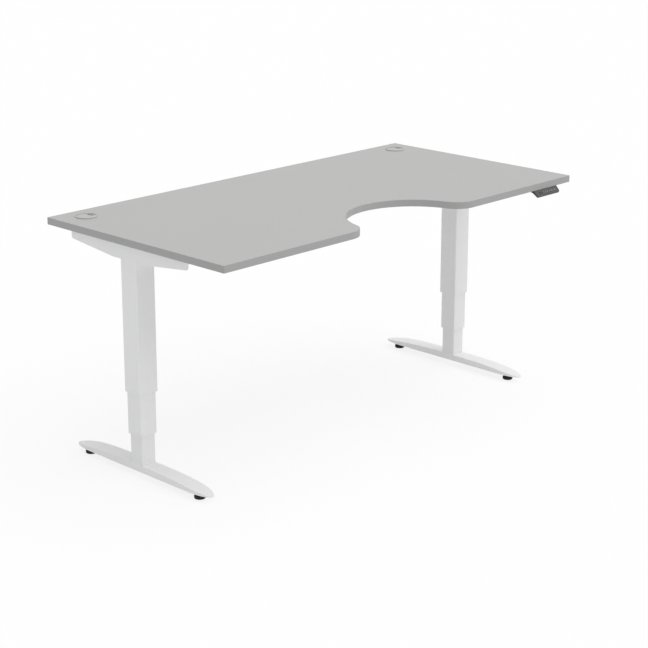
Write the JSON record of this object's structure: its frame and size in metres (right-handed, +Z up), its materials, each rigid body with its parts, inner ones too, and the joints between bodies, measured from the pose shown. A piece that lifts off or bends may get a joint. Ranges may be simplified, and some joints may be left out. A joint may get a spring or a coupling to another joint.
{
  "type": "height adjustable standing desk",
  "caption": "Electric sit-stand desk: recessed rectangular worktop with cable ports on two three-stage telescopic columns with arched feet, side arms, cross rails and a handset.",
  "frame": {"origin": "on the floor, under the middle of the worktop's width and depth", "axes": "+X to the user's right along the worktop, +Y away from the user, +Z up"},
  "size_m": [1.8, 0.92, 0.8636],
  "materials": {
    "laminate": "melamine faced chipboard, light grey, fine matt texture",
    "edging": "plastic edging strip, light grey, satin",
    "port_plastic": "moulded plastic, light grey, satin",
    "white_steel": "white powder coat, fine orange peel",
    "white_casting": "white powder coat on cast aluminium",
    "die_cast": "as cast",
    "motor_can": "black enamel",
    "spindle_steel": "rolled and greased",
    "nut_bronze": "machined bronze",
    "slide_plastic": "natural acetal",
    "glide_plastic": "black moulded plastic",
    "screw_steel": "bright zinc plate",
    "box_plastic": "black moulded plastic, fine spark texture",
    "handset_plastic": "dark grey moulded plastic",
    "panel_film": "dark grey membrane film",
    "display_glass": "smoked acrylic",
    "key_plastic": "grey moulded keys"
  },
  "bodies": {
    "base": {"foot_left": "white_casting", "inner_tube_left": "white_steel", "inner_head_left": "die_cast", "lower_nut_left": "nut_bronze", "inner_pads_left": "slide_plastic", "foot_right": "white_casting", "inner_tube_right": "white_steel", "inner_head_right": "die_cast", "lower_nut_right": "nut_bronze", "inner_pads_right": "slide_plastic", "foot_bolts": "screw_steel"},
    "middle_left": {"middle_tube_left": "white_steel", "middle_head_left": "die_cast", "upper_nut_left": "nut_bronze", "middle_pads_left": "slide_plastic"},
    "middle_right": {"middle_tube_right": "white_steel", "middle_head_right": "die_cast", "upper_nut_right": "nut_bronze", "middle_pads_right": "slide_plastic"},
    "top": {"desktop": "laminate", "edge_band": "edging", "worktop_screws": "screw_steel", "frame_bolts": "screw_steel", "control_box": "box_plastic", "socket_strip": "box_plastic", "handset_housing": "handset_plastic", "handset_panel": "panel_film", "display_window": "display_glass", "cross_rail_front": "white_steel", "cross_rail_back": "white_steel", "port_ring_left": "port_plastic", "side_arm_left": "white_steel", "motor_left": "motor_can", "gearbox_left": "die_cast", "outer_tube_left": "white_steel", "outer_head_left": "die_cast", "outer_pads_left": "slide_plastic", "port_ring_right": "port_plastic", "side_arm_right": "white_steel", "motor_right": "motor_can", "gearbox_right": "die_cast", "outer_tube_right": "white_steel", "outer_head_right": "die_cast", "outer_pads_right": "slide_plastic"},
    "spindle_left": {"spindle_left": "spindle_steel"},
    "hollow_spindle_left": {"hollow_spindle_left": "spindle_steel"},
    "port_lid_left": {"port_lid_left": "port_plastic"},
    "glide_front_left": {"glide_front_left": "glide_plastic"},
    "glide_back_left": {"glide_back_left": "glide_plastic"},
    "spindle_right": {"spindle_right": "spindle_steel"},
    "hollow_spindle_right": {"hollow_spindle_right": "spindle_steel"},
    "port_lid_right": {"port_lid_right": "port_plastic"},
    "glide_front_right": {"glide_front_right": "glide_plastic"},
    "glide_back_right": {"glide_back_right": "glide_plastic"},
    "key_up": {"key_up": "key_plastic"},
    "key_down": {"key_down": "key_plastic"},
    "key_preset_1": {"key_preset_1": "key_plastic"},
    "key_preset_2": {"key_preset_2": "key_plastic"},
    "key_preset_3": {"key_preset_3": "key_plastic"},
    "key_preset_4": {"key_preset_4": "key_plastic"}
  },
  "joints": [
    {"name": "lift_lower_left", "type": "slide", "parent": "base", "child": "middle_left", "axis": [0, 0, 1], "range_m": [-0.105, 0.215]},
    {"name": "lift_upper_left", "type": "slide", "parent": "middle_left", "child": "top", "axis": [0, 0, 1], "range_m": [-0.105, 0.215]},
    {"name": "lift_lower_right", "type": "slide", "parent": "base", "child": "middle_right", "axis": [0, 0, 1], "range_m": [-0.105, 0.215]},
    {"name": "spindle_turn_left", "type": "hinge", "parent": "top", "child": "spindle_left", "pos_m": [-0.829, 0.055, 0.7], "axis": [0, 0, 1], "range_deg": [-3152, 6452]},
    {"name": "hollow_spindle_turn_left", "type": "hinge", "parent": "middle_left", "child": "hollow_spindle_left", "pos_m": [-0.829, 0.055, 0.5], "axis": [0, 0, 1], "range_deg": [-3152, 6452]},
    {"name": "spindle_turn_right", "type": "hinge", "parent": "top", "child": "spindle_right", "pos_m": [0.829, 0.055, 0.7], "axis": [0, 0, 1], "range_deg": [-3152, 6452]},
    {"name": "hollow_spindle_turn_right", "type": "hinge", "parent": "middle_right", "child": "hollow_spindle_right", "pos_m": [0.829, 0.055, 0.5], "axis": [0, 0, 1], "range_deg": [-3152, 6452]},
    {"name": "level_front_left", "type": "slide", "parent": "base", "child": "glide_front_left", "axis": [0, 0, -1], "range_m": [0, 0.005]},
    {"name": "level_back_left", "type": "slide", "parent": "base", "child": "glide_back_left", "axis": [0, 0, -1], "range_m": [0, 0.005]},
    {"name": "level_front_right", "type": "slide", "parent": "base", "child": "glide_front_right", "axis": [0, 0, -1], "range_m": [0, 0.005]},
    {"name": "level_back_right", "type": "slide", "parent": "base", "child": "glide_back_right", "axis": [0, 0, -1], "range_m": [0, 0.005]},
    {"name": "port_lid_turn_left", "type": "hinge", "parent": "top", "child": "port_lid_left", "pos_m": [-0.8, 0.36, 0.86], "axis": [0, 0, 1], "continuous": true},
    {"name": "port_lid_turn_right", "type": "hinge", "parent": "top", "child": "port_lid_right", "pos_m": [0.8, 0.36, 0.86], "axis": [0, 0, 1], "continuous": true},
    {"name": "press_up", "type": "slide", "parent": "top", "child": "key_up", "axis": [0, 0.7241, -0.6897], "range_m": [0, 0.0008], "stiffness_N_per_m": 900, "springref_m": -0.0004},
    {"name": "press_down", "type": "slide", "parent": "top", "child": "key_down", "axis": [0, 0.7241, -0.6897], "range_m": [0, 0.0008], "stiffness_N_per_m": 900, "springref_m": -0.0004},
    {"name": "press_preset_1", "type": "slide", "parent": "top", "child": "key_preset_1", "axis": [0, 0.7241, -0.6897], "range_m": [0, 0.0008], "stiffness_N_per_m": 900, "springref_m": -0.0004},
    {"name": "press_preset_2", "type": "slide", "parent": "top", "child": "key_preset_2", "axis": [0, 0.7241, -0.6897], "range_m": [0, 0.0008], "stiffness_N_per_m": 900, "springref_m": -0.0004},
    {"name": "press_preset_3", "type": "slide", "parent": "top", "child": "key_preset_3", "axis": [0, 0.7241, -0.6897], "range_m": [0, 0.0008], "stiffness_N_per_m": 900, "springref_m": -0.0004},
    {"name": "press_preset_4", "type": "slide", "parent": "top", "child": "key_preset_4", "axis": [0, 0.7241, -0.6897], "range_m": [0, 0.0008], "stiffness_N_per_m": 900, "springref_m": -0.0004}
  ],
  "couplings": [
    {"joint": "lift_upper_left", "follows": "lift_lower_left", "ratio": 1},
    {"joint": "lift_lower_right", "follows": "lift_lower_left", "ratio": 1},
    {"joint": "spindle_turn_left", "follows": "lift_lower_left", "rad_per_m": 523.6},
    {"joint": "hollow_spindle_turn_left", "follows": "lift_lower_left", "rad_per_m": 523.6},
    {"joint": "spindle_turn_right", "follows": "lift_lower_left", "rad_per_m": 523.6},
    {"joint": "hollow_spindle_turn_right", "follows": "lift_lower_left", "rad_per_m": 523.6}
  ]
}
